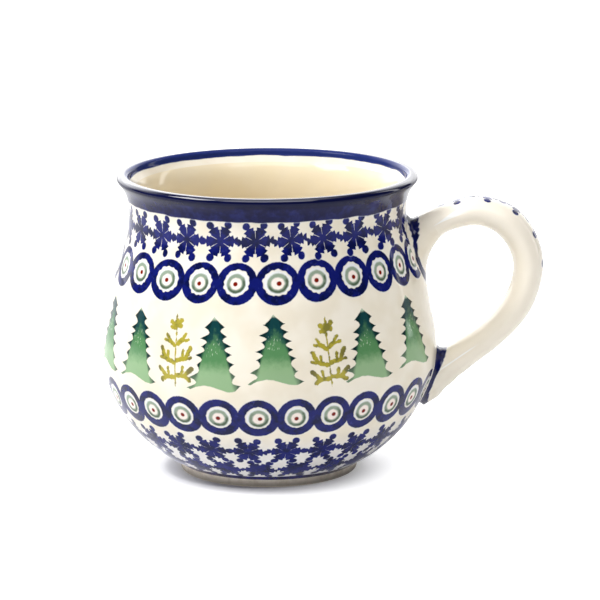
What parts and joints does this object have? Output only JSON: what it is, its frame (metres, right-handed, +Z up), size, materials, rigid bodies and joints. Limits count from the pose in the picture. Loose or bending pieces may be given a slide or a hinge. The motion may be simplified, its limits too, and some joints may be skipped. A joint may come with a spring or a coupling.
{
  "type": "stoneware mug",
  "caption": "Bellied stoneware mug with a flared rim, a low foot ring and an ear-shaped side handle, glazed and stamped all round with rings, trees and snowflakes.",
  "frame": {"origin": "on the plane the mug stands on, under the middle of the whole mug's bounding box; the cup's own axis stands at x = -16.33 mm", "axes": "+Z up, +X towards the handle, +Y across the handle"},
  "size_m": [0.1318, 0.0992, 0.0905],
  "materials": {
    "stamped_glaze": "clear gloss glaze over cream stoneware, hand-stamped in cobalt, green and ochre",
    "cobalt_glaze": "clear gloss glaze over brushed cobalt",
    "bare_clay": "unglazed, fired, slightly rough"
  },
  "bodies": {
    "root": {"mug_body": "stamped_glaze", "foot_ring": "bare_clay", "handle": "stamped_glaze", "handle_joint_upper": "cobalt_glaze", "handle_joint_lower": "cobalt_glaze"}
  },
  "joints": []
}
